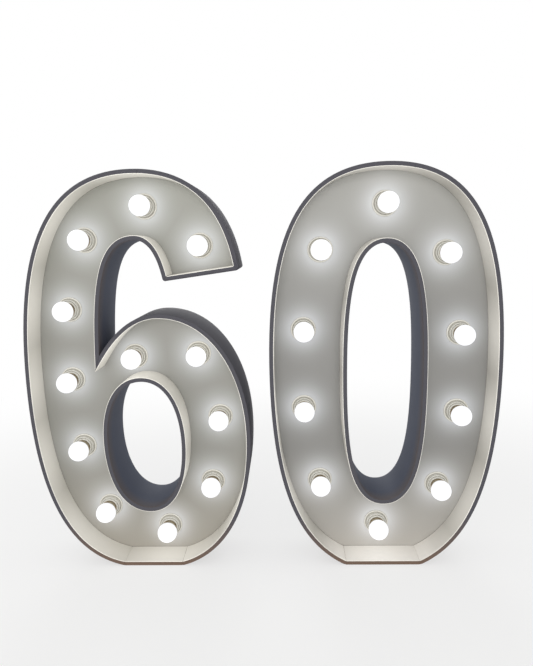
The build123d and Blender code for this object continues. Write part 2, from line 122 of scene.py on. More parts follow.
# %% Helpers for colours and nodes
def linear(hex_value):
    """A linear RGBA colour from a screen colour such as 0xffffff."""
    screen = [(hex_value >> shift & 255) / 255 for shift in (16, 8, 0)]
    return (*[c / 12.92 if c <= 0.04045 else ((c + 0.055) / 1.055) ** 2.4 for c in screen], 1)


def node(tree, kind, inputs=(), **settings):
    """Add a node, set its properties, and set or link each of its inputs."""
    added = tree.nodes.new(kind)
    for key, value in settings.items():
        setattr(added, key, value)
    for key, value in dict(inputs).items():
        if isinstance(value, bpy.types.NodeSocket):
            tree.links.new(value, added.inputs[key])
        else:
            added.inputs[key].default_value = value
    return added


print("middle grey of the screen in linear light", round(linear(0x808080)[0], 3))

# %% [markdown]
# Most of the number is moulded or rolled plastic. What the eye sees on it is a tone that wanders softly
# in patches, and a fine grain. Both come from noise on the object's own coordinates, with their size
# given in millimetres, so a plain finish takes one line further on.

# %% Helpers for plain finishes
def new_material(name, roughness, ior=1.5, metallic=0):
    """A new material, its node tree, its shader, and the point on the object, in metres."""
    made = bpy.data.materials.new(name)
    made.use_nodes = True
    tree = made.node_tree
    shader = tree.nodes["Principled BSDF"]
    shader.inputs["Roughness"].default_value = roughness
    shader.inputs["IOR"].default_value = ior
    shader.inputs["Metallic"].default_value = metallic
    point = tree.nodes.new("ShaderNodeTexCoord").outputs["Object"]
    return made, tree, shader, point


def mottle(tree, point, size, darker, lighter):
    """A colour that wanders softly between two others, in patches of a size in millimetres."""
    noise = node(tree, "ShaderNodeTexNoise", {"Vector": point, "Scale": 1 / (size * MM), "Detail": 3.0})
    tones = {0: noise.outputs[0], 6: linear(darker), 7: linear(lighter)}
    return node(tree, "ShaderNodeMix", tones, data_type="RGBA").outputs[2]


def grain(tree, shader, point, size, height):
    """A bump of rounded grains, with their size and height in millimetres."""
    noise = node(tree, "ShaderNodeTexNoise", {"Vector": point, "Scale": 1 / (size * MM), "Detail": 2.0})
    relief = {"Height": noise.outputs[0], "Distance": height * MM, "Strength": 1.0}
    bump = node(tree, "ShaderNodeBump", relief)
    tree.links.new(bump.outputs[0], shader.inputs["Normal"])


def plain_finish(name, roughness, patch, tones, grains=None, **shine):
    """A material of two tones in patches of a size, with grains of a size and height if it has any."""
    made, tree, shader, point = new_material(name, roughness, **shine)
    tree.links.new(mottle(tree, point, patch, *tones), shader.inputs["Base Color"])
    if grains:
        grain(tree, shader, point, *grains)
    return made


print("patches of 60 mm take a noise of the scale", round(1 / (60 * MM), 1))

# %% [markdown]
# The lit sheet and the paint need more: tones that come in along the depth or the height, laid over each
# other, and a glow that fades with the distance to the nearest lamp.

# %% Helpers for tones and light that change with the place
def fade(tree, point, axis, start, end):
    """A factor that grows from 0 to 1 between two places along an axis, in millimetres."""
    split = node(tree, "ShaderNodeSeparateXYZ", {0: point})
    ends = {"Value": split.outputs[axis], "From Min": start * MM, "From Max": end * MM}
    return node(tree, "ShaderNodeMapRange", ends).outputs[0]


def layers(tree, body, *tones):
    """Lay tones over a colour one after the other, each as strongly as its factor says."""
    for factor, tone in tones:
        mixed = {0: factor, 6: body, 7: linear(tone)}
        body = node(tree, "ShaderNodeMix", mixed, data_type="RGBA").outputs[2]
    return body


def glow_near(tree, point, places, start, end, fall, tone):
    """Light of a tone round each place, full at one distance and gone at another, in millimetres."""
    nearest = None
    for place in places:
        away = node(tree, "ShaderNodeVectorMath", {0: point, 1: place}, operation="DISTANCE").outputs["Value"]
        if nearest is None:
            nearest = away
        else:
            nearest = node(tree, "ShaderNodeMath", {0: nearest, 1: away}, operation="MINIMUM").outputs[0]
    ends = {"Value": nearest, "From Min": end * MM, "From Max": start * MM}
    rise = node(tree, "ShaderNodeMapRange", ends)
    share = node(tree, "ShaderNodeMath", {0: rise.outputs[0], 1: fall}, operation="POWER")
    light = {0: share.outputs[0], 6: (0, 0, 0, 1), 7: linear(tone)}
    return node(tree, "ShaderNodeMix", light, data_type="RGBA").outputs[2]


print("half way out, a glow with a fall of 2 has", 0.5**2, "of its strength")

# %% [markdown]
# The outside of the walls is foamed PVC sheet with a coat of charcoal paint. The coat is rolled on along
# the strips before they are bent, which leaves faint streaks a few millimetres apart, and a dull sheen.
# Painted reflection makes the lowest hand's breadth a little brown, as the floor throws its colour back.
# Painted light makes the paint lighter near the front edge, and brownish there in the openings. Further
# in, painted shade gives the openings a bluish, slate-like copy of the paint. One function makes both
# paints from their tones.

# %% Charcoal paint
PAINT_PATCH = 60
STREAK = 3.5
STREAK_STRETCH = 0.012
STREAK_FLOOR = 0.45
STREAK_STRENGTH = 0.4
FLOOR_REACH = 120
PAINT_SHEEN = 0.25
FRONT_LIGHT_REACH = 38
front = cad_box[0].y / MM


def rolled_paint(name, darker, lighter, floor_bounce_tone, front_light_tone):
    """Rolled charcoal paint, with streaks along the strip, and painted light: lighter at the front and warm
    near the floor.
    """
    made, tree, shader, point = new_material(name, roughness=0.68)
    shader.inputs["Specular IOR Level"].default_value = PAINT_SHEEN
    patches = mottle(tree, point, PAINT_PATCH, darker, lighter)
    # Painted light: a lighter tone near the front edge.
    near_front = fade(tree, point, "Y", front + FRONT_LIGHT_REACH, front)
    along = node(tree, "ShaderNodeMapping", {"Vector": point, "Scale": (STREAK_STRETCH, 1, STREAK_STRETCH)})
    lines = node(tree, "ShaderNodeTexNoise", {"Vector": along.outputs[0], "Scale": 1 / (STREAK * MM)})
    faint = {"Value": lines.outputs[0], "From Min": STREAK_FLOOR, "To Max": STREAK_STRENGTH}
    streaks = node(tree, "ShaderNodeMapRange", faint).outputs[0]
    # Painted reflection: the floor's warm colour on the lowest hand's breadth.
    low = fade(tree, point, "Z", FLOOR_REACH, 0)
    body = layers(tree, patches, (near_front, front_light_tone), (streaks, lighter), (low, floor_bounce_tone))
    tree.links.new(body, shader.inputs["Base Color"])
    grain(tree, shader, point, 2.0, 0.04)
    return made


# The second paint is a shaded copy of the first: painted shade for the faces in the openings.
charcoal = rolled_paint("rolled charcoal acrylic paint", 0x47464D, 0x515058, 0x735F51, 0x4E4D53)
shaded_charcoal = rolled_paint("rolled charcoal paint with painted shade in the openings", 0x494E5C, 0x515665, 0x4A4952, 0x5C5554)
print(charcoal.name, "and", shaded_charcoal.name)

# %% [markdown]
# Inside the recess the sheet is left white, as it comes from the press: a closed, silky skin with
# hardly any texture. Painted shade darkens the walls towards their foot, as the globes light their
# front more, and a painted crevice shadow draws a fine dark line where the wall meets the panel. The lip
# at the very front, which the paint leaves bare, shows pale, and a painted highlight makes the first
# millimetre behind it paler still. Painted light makes the walls lighter near the floor.
# Four factors, three along the depth and one along the height, lay these tones over each other. The
# globes' light on the sheet is painted in as a faint glow, from the distance to the nearest globe.

# %% White walls
WALL_PATCH = 90
LIP = 1.3
LIP_HIGHLIGHT_TONE = 0xECE9E0
CREVICE_SHADE_LINE = 1.3
CREVICE_SHADE_TONE = 0x7E7A70
GLOW_START = 50
GLOW_END = 150
GLOW_FALL = 1.5
GLOW_TONE = 0x888682
LIT_BASE_ZONE = (20, 70)
# The sheet's tone, and its painted light near the floor, for each numeral.
WALL_TONES = {"six": (0xD0CCC2, 0xD6D2C8), "zero": (0xBDB9B0, 0xECE8E1)}
LIGHTER_PATCH = 0x090A0B
DARKER_FOOT = 0x080706
foot = panel_front / MM


def lit_wall(name, places, tone, lit_base_tone):
    """White PVC sheet on edge, with the globes' light and shade painted in round the given places."""
    made, tree, shader, point = new_material(name, roughness=0.45)
    body = layers(
        tree,
        mottle(tree, point, WALL_PATCH, tone, tone + LIGHTER_PATCH),
        # Painted shade at the foot, painted light near the floor, a painted highlight behind the lip, a
        # painted crevice shadow at the panel.
        (fade(tree, point, "Y", front, foot), tone - DARKER_FOOT),
        (fade(tree, point, "Z", *reversed(LIT_BASE_ZONE)), lit_base_tone),
        (fade(tree, point, "Y", front + LIP, front + LIP / 2), LIP_HIGHLIGHT_TONE),
        (fade(tree, point, "Y", foot - CREVICE_SHADE_LINE, foot - CREVICE_SHADE_LINE / 2), CREVICE_SHADE_TONE),
    )
    tree.links.new(body, shader.inputs["Base Color"])
    # Painted light: the globes' light on the wall, as a faint glow.
    glow = glow_near(tree, point, places, GLOW_START, GLOW_END, GLOW_FALL, GLOW_TONE)
    tree.links.new(glow, shader.inputs["Emission Color"])
    shader.inputs["Emission Strength"].default_value = 1.0
    grain(tree, shader, point, 1.2, 0.02)
    return made


white_walls = {}
for numeral in NUMERALS:
    name = f"white foamed PVC sheet of the {numeral}"
    white_walls[numeral] = lit_wall(name, globe_centres[numeral], *WALL_TONES[numeral])
print([wall.name for wall in white_walls.values()], "from", round(front, 1), "to", round(foot, 1), "mm")

# %% [markdown]
# The panel is the same sheet. Each lamp throws a pool of cool light on it, about as wide again as its
# ring, which a camera sees as a bright halo. The globes light the panel themselves, and the rest of
# the halo is painted light: an emission of the sheet, worked out from the distance to the nearest lamp's
# axis. Painted light also makes the sheet a little warmer towards the floor, which throws its colour
# back, and lighter towards the crown. A few specks of dust lie on it.

# %% White panels
HALO_START = 27
HALO_END = 105
HALO_FALL = 3.2
HALO_TONE = 0x989BA0
FLOOR_ZONE = (0, 260)
CROWN_ZONE = (560, 900)
SPECK_SPACE = 110
SPECK = 0.8
DUST_TONE = 0x6C6A62
PANEL_PATCH = 150
LIGHTER_SHEET = 0x040404


def lit_panel(name, places, tone, floor_bounce_tone, crown_light_tone):
    """White PVC sheet with a painted halo of light round each of the lamps that stand in it."""
    made, tree, shader, point = new_material(name, roughness=0.42)
    cells = node(tree, "ShaderNodeTexVoronoi", {"Vector": point, "Scale": 1 / (SPECK_SPACE * MM)})
    size = SPECK / SPECK_SPACE
    ends = {"Value": cells.outputs["Distance"], "From Min": size, "From Max": size / 2}
    speck = node(tree, "ShaderNodeMapRange", ends).outputs[0]
    body = layers(
        tree,
        mottle(tree, point, PANEL_PATCH, tone, tone + LIGHTER_SHEET),
        # Painted light: warmer towards the floor and lighter towards the crown.
        (fade(tree, point, "Z", *reversed(FLOOR_ZONE)), floor_bounce_tone),
        (fade(tree, point, "Z", *CROWN_ZONE), crown_light_tone),
        (speck, DUST_TONE),
    )
    tree.links.new(body, shader.inputs["Base Color"])
    # Painted light: the pool of light round each lamp, as an emission.
    halo = glow_near(tree, point, places, HALO_START, HALO_END, HALO_FALL, HALO_TONE)
    tree.links.new(halo, shader.inputs["Emission Color"])
    shader.inputs["Emission Strength"].default_value = 1.0
    grain(tree, shader, point, 1.0, 0.015)
    return made


# Each numeral's sheet tone, painted floor reflection and painted light towards the crown.
PANEL_TONES = {"six": (0x91908A, 0xA6A197, 0x9B9B93), "zero": (0x8A8986, 0xB5B1AA, 0xA8A7A2)}
white_panels = {}
for numeral in NUMERALS:
    name = f"white PVC panel of the {numeral}"
    white_panels[numeral] = lit_panel(name, seats[numeral], *PANEL_TONES[numeral])
print([panel.name for panel in white_panels.values()])

# %% [markdown]
# The walls come from the model, because their outline is right and carries the seams. The model's
# pieces are loose triangles, so a copy is merged, and its flat triangles are dissolved into whole faces.
# The model's own mesh stays as it is. A search tree of a piece's faces answers later where it lies.

# %% Helpers for pieces copied from the model
FLAT = math.radians(0.2)
MERGE = 0.01


def tree_of(name):
    """A search tree of a model piece's faces."""
    mesh = nodes[name].data
    return BVHTree.FromPolygons([v.co for v in mesh.vertices], [p.vertices for p in mesh.polygons])


def copy_of(name, new_name):
    """A merged copy of a model piece, under its own name, that takes its place."""
    piece = nodes[name].copy()
    piece.data = nodes[name].data.copy()
    piece.name = new_name
    piece.parent = None
    for key in list(piece.keys()):
        del piece[key]
    bpy.context.scene.collection.objects.link(piece)
    pick(piece)
    bpy.ops.object.mode_set(mode="EDIT")
    bpy.ops.mesh.select_all(action="SELECT")
    bpy.ops.mesh.remove_doubles(threshold=MERGE * MM)
    bpy.ops.mesh.dissolve_limited(angle_limit=FLAT)
    bpy.ops.object.mode_set(mode="OBJECT")
    return piece


def choose_faces(piece, chosen):
    """Go to edit mode with the faces selected that pass a test, and no others."""
    pick(piece)
    bpy.ops.object.mode_set(mode="EDIT")
    bpy.ops.mesh.select_mode(type="FACE")
    bpy.ops.mesh.select_all(action="DESELECT")
    bpy.ops.object.mode_set(mode="OBJECT")
    for face in piece.data.polygons:
        face.select = chosen(face)
    bpy.ops.object.mode_set(mode="EDIT")


print("triangles of the six's spine wall", len(nodes["six_spine_wall"].data.polygons))

# %% [markdown]
# Of a wall's copy only the front edge is kept, and it is pulled to the rear again: each wall is a bent
# strip, so this gives it long even faces, which shade without streaks. An inset keeps a narrow band
# along the front's inner edge, where the paint ends and the white sheet shows as a fine line. A small
# bevel then rounds every edge, as a sanding block does, which also opens the fine grooves at the butt
# joints that the eye picks up.
# How much of a face's normal points straight ahead tells a flat front from its rounded edges.

# %% Helpers for the walls' shape
SANDED_EDGE = 0.7
BARE_EDGE = 1.15
SHARP = math.radians(40)
FLAT_ON = 0.99


def pull_from_front(piece, depths):
    """Keep a piece's front edge alone and extrude it to each depth in turn, in metres."""
    start = min(vertex.co.y for vertex in piece.data.vertices)
    choose_faces(piece, lambda face: face.center.y > start + MM or face.normal.y > -FLAT_ON)
    bpy.ops.mesh.delete(type="FACE")
    bpy.ops.mesh.select_all(action="SELECT")
    bpy.ops.mesh.inset(thickness=BARE_EDGE * MM, use_boundary=True)
    bpy.ops.mesh.select_all(action="SELECT")
    for depth in depths:
        bpy.ops.mesh.extrude_region_move(TRANSFORM_OT_translate={"value": (0, depth - start, 0)})
        start = depth
    bpy.ops.mesh.select_all(action="SELECT")
    bpy.ops.mesh.normals_make_consistent(inside=False)
    bpy.ops.object.mode_set(mode="OBJECT")


def bevel(piece, width, segments=2, angle=SHARP):
    """Round a piece's sharp edges by a width in millimetres, with its flat front and rear kept flat."""
    pick(piece)
    rounding = piece.modifiers.new("edges", "BEVEL")
    rounding.width = width * MM
    rounding.segments = segments
    rounding.limit_method = "ANGLE"
    rounding.angle_limit = angle
    rounding.miter_outer = "MITER_ARC"
    bpy.ops.object.modifier_apply(modifier="edges")
    bpy.ops.object.shade_smooth_by_angle(angle=angle)
    for face in piece.data.polygons:
        face.use_smooth = abs(face.normal.y) < FLAT_ON


print("sharp edges turn by more than", round(math.degrees(SHARP)), "degrees")

# %% [markdown]
# A finished piece gets its materials, rides on a body, and stands for the model's piece.
# On a wall the paint also goes round the rear edge as far as the cover, so each wall is extruded in two
# steps, with the line where the paint ends between them. The front and the first facet of its rounded
# edge are painted, but for the bare band beside the panel.
# Which side is the inside? A point just off each face either lies over the panel or it doesn't, and a
# ray towards the panel tells.

# %% Dress the walls
def finish_piece(piece, body, slot, *replaced):
    """Tie a finished piece to its body, and hide the model pieces that it stands for; its slot is not used.
    """
    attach(piece, body)
    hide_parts(*replaced)
    return piece


def slots(piece, *materials):
    """Give a piece its materials, in the order of their numbers."""
    piece.data.materials.clear()
    for entry in materials:
        piece.data.materials.append(entry)


def on_bare_edge(piece, face, panel):
    """Whether a face of the front lies all within reach of the panel's outline."""
    spots = [piece.data.vertices[i].co for i in face.vertices]
    level = (panel_front + panel_rear) / 2
    away = [panel.find_nearest(Vector((spot.x, level, spot.z)))[3] for spot in spots]
    return max(away) < (BARE_EDGE + SANDED_EDGE) * MM


PROBE = 4
REAR_PAINT = 1.5
HALF_ROUNDED = 0.9
CHARCOAL, WHITE, SHADED_CHARCOAL = 0, 1, 2
paint_line = cover_rear - REAR_PAINT * MM
wall_names = [name for name in sorted(nodes) if name.endswith(("_wall", "_strip"))]
panels = {numeral: tree_of(f"{numeral}_back_panel") for numeral in NUMERALS}
for name in wall_names:
    numeral = name.split("_")[0]
    piece = copy_of(name, f"{name}_painted")
    pull_from_front(piece, (paint_line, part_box(name)[1].y))
    bevel(piece, SANDED_EDGE)
    slots(piece, charcoal, white_walls[numeral], shaded_charcoal)
    # Painted shade: the counter and throat walls face the openings, so their outer faces take the shaded copy
    # of the paint.
    outer = SHADED_CHARCOAL if "counter" in name or "throat" in name else CHARCOAL
    over_panel = panels[numeral]
    for face in piece.data.polygons:
        start = face.center + face.normal * (PROBE * MM)
        start.y = -1
        inside = over_panel.ray_cast(start, Vector((0, 1, 0)))[0] is not None
        if -face.normal.y > HALF_ROUNDED:
            face.material_index = WHITE if on_bare_edge(piece, face, over_panel) else CHARCOAL
        elif face.normal.y > HALF_ROUNDED:
            face.material_index = CHARCOAL
        elif inside and face.center.y < paint_line:
            face.material_index = WHITE
        else:
            face.material_index = outer
    finish_piece(piece, "root", "wall_sheet", name)
print("walls", len(wall_names), "and the last of them has", len(piece.data.polygons), "faces")

# %% [markdown]
# Lampholders, rings, bulbs and caps are all turned, as on a lathe. A circle stands for the blank, and
# each step of the profile extrudes it along the axis and scales it to the next radius. A profile is a
# list of (radius, depth) in millimetres from the piece's seat, with the depth growing to the rear. One
# that is closed at an end stops just short of the axis, and the small hole left there is filled.

# %% Helpers for turned pieces
AXIS = 0.05


def clean(piece):
    """Close a piece's open ends, merge what meets, and point its faces outwards."""
    pick(piece)
    bpy.ops.object.mode_set(mode="EDIT")
    bpy.ops.mesh.select_mode(type="VERT")
    bpy.ops.mesh.select_all(action="SELECT")
    bpy.ops.mesh.remove_doubles(threshold=MERGE / 2 * MM)
    bpy.ops.mesh.select_all(action="DESELECT")
    bpy.ops.mesh.select_non_manifold()
    bpy.ops.mesh.fill_holes(sides=0)
    bpy.ops.mesh.select_all(action="SELECT")
    bpy.ops.mesh.normals_make_consistent(inside=False)
    bpy.ops.object.mode_set(mode="OBJECT")
    bpy.ops.object.shade_smooth_by_angle(angle=SHARP)


def turned(name, profile, sides=64):
    """A turned piece about the Y axis, with its seat at zero depth."""
    deselect()
    radius, depth = profile[0]
    bpy.ops.mesh.primitive_circle_add(
        vertices=sides,
        radius=radius * MM,
        location=(0, depth * MM, 0),
        rotation=(math.pi / 2, 0, 0),
    )
    piece = bpy.context.object
    piece.name = name
    bpy.ops.object.mode_set(mode="EDIT")
    bpy.ops.mesh.select_all(action="SELECT")
    for next_radius, next_depth in profile[1:]:
        step = (0, (next_depth - depth) * MM, 0)
        bpy.ops.mesh.extrude_edges_move(TRANSFORM_OT_translate={"value": step})
        if next_radius != radius:
            scale = next_radius / radius
            bpy.ops.transform.resize(value=(scale, 1, scale), center_override=(0, next_depth * MM, 0))
        radius, depth = next_radius, next_depth
    bpy.ops.object.mode_set(mode="OBJECT")
    bpy.ops.object.transform_apply(location=True, rotation=True, scale=True)
    clean(piece)
    return piece


def arc_points(centre_depth, radius, start, end, steps, centre_radius=0):
    """Profile points round an arc, with angles in degrees from the front towards the outside."""
    points = []
    for k in range(steps + 1):
        angle = math.radians(start + (end - start) * k / steps)
        points.append((centre_radius + radius * math.sin(angle), centre_depth - radius * math.cos(angle)))
    return points


def copies_at(model, name, places):
    """One object made of a copy of the model at each place."""
    made = []
    for place in places:
        piece = model.copy()
        piece.data = model.data.copy()
        piece.data.transform(Matrix.Translation(place))
        bpy.context.scene.collection.objects.link(piece)
        made.append(piece)
    pick(made[0])
    for piece in made:
        piece.select_set(True)
    if len(made) > 1:
        bpy.ops.object.join()
    bpy.context.object.name = name
    return bpy.context.object


quarter = arc_points(-GLOBE_AHEAD, GLOBE_RADIUS, 0, 90, 3)
print("a quarter of a globe", [[round(c, 2) for c in spot] for spot in quarter])

# %% [markdown]
# A turned piece often needs a second finish on some of its faces, such as the dust in a groove. On a
# turned piece every face is known by its radius and its depth, so a test on these two picks them out.

# %% Helper for a second finish
def paint(piece, number, chosen):
    """Give a finish to the faces of a turned piece whose radius and depth pass a test."""
    for face in piece.data.polygons:
        radius = math.hypot(face.center.x, face.center.z) / MM
        if chosen(radius, face.center.y / MM):
            face.material_index = number


print("a face at x 3 and z 4 has the radius", math.hypot(3, 4))

# %% [markdown]
# Each lampholder is clamped by a skirt ring: a flat flange on the panel and a ribbed collar to turn it
# by. From the front the flange, a groove and the collar show as fine circles round every globe. The
# ring is a closed profile, and every second line of the collar is drawn in to make its ribs. Dust and
# painted shade in the groove, and a painted shadow in the gap under the flange, draw dark lines between
# the pale circles.

# %% Skirt rings
# Urea is moulded in a polished tool: an even cream, smooth, with a soft gloss. A greyer, dull copy
# stands for dust and painted shade in the groove, and for the painted shadow in the gap under the flange.
cream = plain_finish("cream urea moulding", 0.38, patch=15, tones=(0xDBD9D0, 0xE2E0D8), grains=(0.6, 0.01))
dust_and_shade = (0xB9B6AC, 0xC4C1B8)
dust_and_shade_cream = plain_finish("cream urea moulding, dusty and in painted shade", 0.7, patch=4, tones=dust_and_shade, grains=(0.5, 0.02))

RIBS = 48
RIB_DEPTH = 0.5
RING_RIM = 28.2
GROOVE = (23.3, 25.1)
FLANGE_TOP = -2.4
COLLAR_START = -5
ring_profile = [
    (20.4, 0.0), (28.0, 0.0), (28.5, -0.5), (28.7, -1.2), (28.4, -2.0), (27.8, -2.5), (25.4, -2.5),
    (24.7, -1.0), (23.8, -1.0), (23.2, -2.4), (23.2, -8.9), (22.9, -9.6), (22.2, -10.0), (21.2, -10.0),
    (20.7, -9.6), (20.4, -9.0), (20.4, 0.0),
]
ring = turned("skirt_ring", ring_profile, sides=2 * RIBS)
collar_radius = max(radius for radius, depth in ring_profile if depth < COLLAR_START)
for vertex in ring.data.vertices:
    radius = math.hypot(vertex.co.x, vertex.co.z)
    turn = round(math.atan2(vertex.co.z, vertex.co.x) / math.pi * RIBS)
    if turn % 2 and abs(radius - collar_radius * MM) < 0.1 * RIB_DEPTH * MM:
        vertex.co.x *= 1 - RIB_DEPTH * MM / radius
        vertex.co.z *= 1 - RIB_DEPTH * MM / radius
slots(ring, cream, dust_and_shade_cream)
# Painted shadow: the flange's rim, in the gap under it. Dust and painted shade: the groove.
paint(ring, 1, lambda radius, depth: radius > RING_RIM)
paint(ring, 1, lambda radius, depth: GROOVE[0] < radius < GROOVE[1] and depth > FLANGE_TOP)
for numeral in NUMERALS:
    piece = copies_at(ring, f"{numeral}_skirt_rings", seats[numeral])
    finish_piece(piece, "root", "lampholder", f"{numeral}_lampholder_rings")
bpy.data.objects.remove(ring)
print("ring radius", max(radius for radius, depth in ring_profile), "mm")

# %% [markdown]
# The lampholder itself is a barrel with a rolled lip at its mouth and a stepped bore for the cap. Most
# of it hides in the panel, but the lip and the shadowed mouth show behind each globe. The inside of the
# mouth gets a finish of its own: painted shade makes it darker and browner, and a faint emission is
# painted light from the bulb that falls into it.

# %% Lampholders
# The mouth's finish is duller, painted brown in uneven patches as shade, with a faint painted glow.
shaded_mouth_cream = plain_finish("cream urea moulding in painted shade and glow", 0.6, patch=5, tones=(0xA89A83, 0xB8AB94))
shader = shaded_mouth_cream.node_tree.nodes["Principled BSDF"]
# Painted light: the bulb's light in the mouth, as a faint glow.
shader.inputs["Emission Color"].default_value = linear(0x685E50)
shader.inputs["Emission Strength"].default_value = 1.0

MOUTH_RADIUS = 16.9
BORE_END = 17
housing_end = (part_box("six_lampholders")[1].y - panel_front) / MM
holder_profile = [
    (AXIS, 16.9), (13.6, 16.9), (13.6, -6.0), (16.4, -6.0), (16.4, -12.6), (16.8, -13.5), (17.7, -13.9),
    (18.7, -13.9), (19.5, -13.4), (19.9, -12.4), (19.9, -11.4), (19.3, -11.0), (19.3, -10.2),
    (19.9, -9.8), (19.9, 10.0), (23.4, 10.0), (23.9, 10.6), (23.9, housing_end - 1.5),
    (22.6, housing_end), (AXIS, housing_end),
]
holder = turned("lampholder", holder_profile)
slots(holder, cream, shaded_mouth_cream)
paint(holder, 1, lambda radius, depth: radius < MOUTH_RADIUS and depth < BORE_END)
for numeral in NUMERALS:
    piece = copies_at(holder, f"{numeral}_lampholders_moulded", seats[numeral])
    finish_piece(piece, "root", "lampholder", f"{numeral}_lampholders")
bpy.data.objects.remove(holder)
print("lampholder depth", round(housing_end, 1), "mm behind the panel's front")

# %% [markdown]
# The bulbs are golf-ball lamps: an opal globe that sits on a short cream neck, on a screwed cap. The
# globe is one turned arc. Its light comes from the shader's own emission and falls off towards the
# neck, which shades that side on the real lamp. The neck is a plain moulding and doesn't glow.

# %% Globes
NECK_RADIUS = 14.2
NECK_START = -23.9
GLOW = 0.88
NECK_GLOW = 0.45
MIDDLE = foot - GLOBE_AHEAD
NECK_END = foot + NECK_START

# Opal polycarbonate scatters the light inside, so a lit globe is evenly white and hides what is in it.
opal, tree, shader, point = new_material("lit opal polycarbonate", roughness=0.3, ior=1.58)
shader.inputs["Base Color"].default_value = linear(0x8C8D8E)
shader.inputs["Emission Color"].default_value = linear(0xFAFBFF)
rise = fade(tree, point, "Y", NECK_END, MIDDLE)
shine = node(tree, "ShaderNodeMapRange", {"Value": rise, "To Min": NECK_GLOW, "To Max": GLOW})
tree.links.new(shine.outputs[0], shader.inputs["Emission Strength"])

# PBT comes out of its tool with a satin skin, a little warmer than the sheet around it.
neck_plastic = plain_finish("cream PBT neck", 0.4, patch=8, tones=(0xB4AD98, 0xC0B9A5), ior=1.55)

neck_angle = 180 - math.degrees(math.asin(NECK_RADIUS / GLOBE_RADIUS))
globe_profile = [(AXIS, -GLOBE_AHEAD - GLOBE_RADIUS)]
globe_profile += arc_points(-GLOBE_AHEAD, GLOBE_RADIUS, 3, neck_angle, 26)
globe_profile += [(13.9, -20.0), (13.6, -14.0), (13.2, -7.6), (12.4, -7.2), (AXIS, -7.2)]
globe = turned("globe", globe_profile, sides=72)
slots(globe, opal, neck_plastic)
paint(globe, 1, lambda radius, depth: depth > NECK_START)
print("globe", 2 * GLOBE_RADIUS, "mm across")

# %% [markdown]
# The cap is a thin nickel-plated shell with a rounded thread, 3.63 mm from turn to turn. A core is
# turned first. One bead of the thread is a small circle beside the axis, and the Screw modifier sweeps
# it round and along. A Boolean union then makes one closed piece of the two.

# %% Caps
# Nickel plate is a bright, slightly warm metal, blurred by the rolled brass under it. The glass that
# insulates the contact is nearly black, and glossy.
nickel = plain_finish("nickel plated brass", 0.28, patch=4, tones=(0xB9B4A8, 0xC8C4BA), metallic=1)
glass = plain_finish("black insulating glass", 0.15, patch=3, tones=(0x161617, 0x212123))


def thread_bead(radius, middle_radius, pitch, turns, start, steps, sides=8):
    """A bead of thread about the Y axis, swept from a circle, with its sizes in millimetres."""
    deselect()
    place = (middle_radius * MM, start * MM, 0)
    bpy.ops.mesh.primitive_circle_add(vertices=sides, radius=radius * MM, location=place)
    bead = bpy.context.object
    bpy.ops.object.transform_apply(location=True)
    sweep = bead.modifiers.new("thread", "SCREW")
    sweep.axis = "Y"
    sweep.angle = math.tau
    sweep.screw_offset = pitch * MM
    sweep.iterations = turns
    sweep.steps = sweep.render_steps = steps
    bpy.ops.object.modifier_apply(modifier="thread")
    clean(bead)
    return bead


def combine(piece, tool, operation):
    """Join a tool's shape to a piece, or cut it out, and remove the tool."""
    pick(piece)
    change = piece.modifiers.new("change", "BOOLEAN")
    change.operation = operation
    change.object = tool
    change.solver = "EXACT"
    bpy.ops.object.modifier_apply(modifier="change")
    bpy.data.objects.remove(tool)
    bpy.ops.object.shade_smooth_by_angle(angle=SHARP)


GLASS_RADIUS = 9.2
CONTACT_RADIUS = 5.2
GLASS_START = 13
cap_profile = [
    (AXIS, 16.4), (4.4, 16.4), (4.9, 15.9), (5.1, 14.9), (GLASS_RADIUS, 13.6), (11.2, 13.2), (12.1, 12.2),
    (12.1, -5.6), (13.0, -6.2), (13.1, -7.1), (AXIS, -7.1),
]
cap = turned("cap", cap_profile, sides=48)
bead = thread_bead(radius=1.05, middle_radius=12.1, pitch=3.63, turns=4, start=-3.9, steps=32)
combine(cap, bead, "UNION")
slots(cap, nickel, glass)
paint(cap, 1, lambda radius, depth: CONTACT_RADIUS < radius < GLASS_RADIUS - 0.5 and depth > GLASS_START)
for name, place in lamp_places.items():
    ball = copies_at(globe, f"{name}_globe", [place])
    finish_piece(ball, name, "bulb", name)
    metal = copies_at(cap, f"{name}_cap", [place])
    finish_piece(metal, name, "bulb", name)
print("bulbs", len(lamp_places), "cap faces", len(cap.data.polygons))
bpy.data.objects.remove(globe)
bpy.data.objects.remove(cap)

# %% [markdown]
# The rear covers are thin charcoal sheets. A copy of each gets its square edges sanded, while the
# countersinks, which meet their faces at a flat angle, stay sharp.

# %% Rear covers
# This sheet is pressed in its colour and not painted: smoother than the walls, with a fine even grain.
greys = (0x4A4950, 0x55535B)
cover_sheet = plain_finish("charcoal PVC cover sheet", 0.42, patch=70, tones=greys, grains=(0.8, 0.03))

SQUARE = math.radians(70)
COVER_EDGE = 0.4
for numeral in NUMERALS:
    piece = copy_of(f"{numeral}_rear_cover", f"{numeral}_rear_cover_sanded")
    bevel(piece, COVER_EDGE, angle=SQUARE)
    slots(piece, cover_sheet)
    finish_piece(piece, "root", "cover_sheet", f"{numeral}_rear_cover")
print("covers", len(NUMERALS))

# %% [markdown]
# Countersunk cross-head screws hold the covers. Each is turned, gets the bead of its thread, and has the
# cross cut into its head by two crossed wedges. Where the screws stand is read from the model: its
# screws lie far apart, so every point of the model's piece belongs to the screw that is near it.

# %% Cover screws
# Zinc plate is a cool grey metal with a soft, slightly spotted shine.
zinc = plain_finish("zinc plated steel", 0.32, patch=3, tones=(0xA9ACAE, 0xBFC2C4), metallic=1)


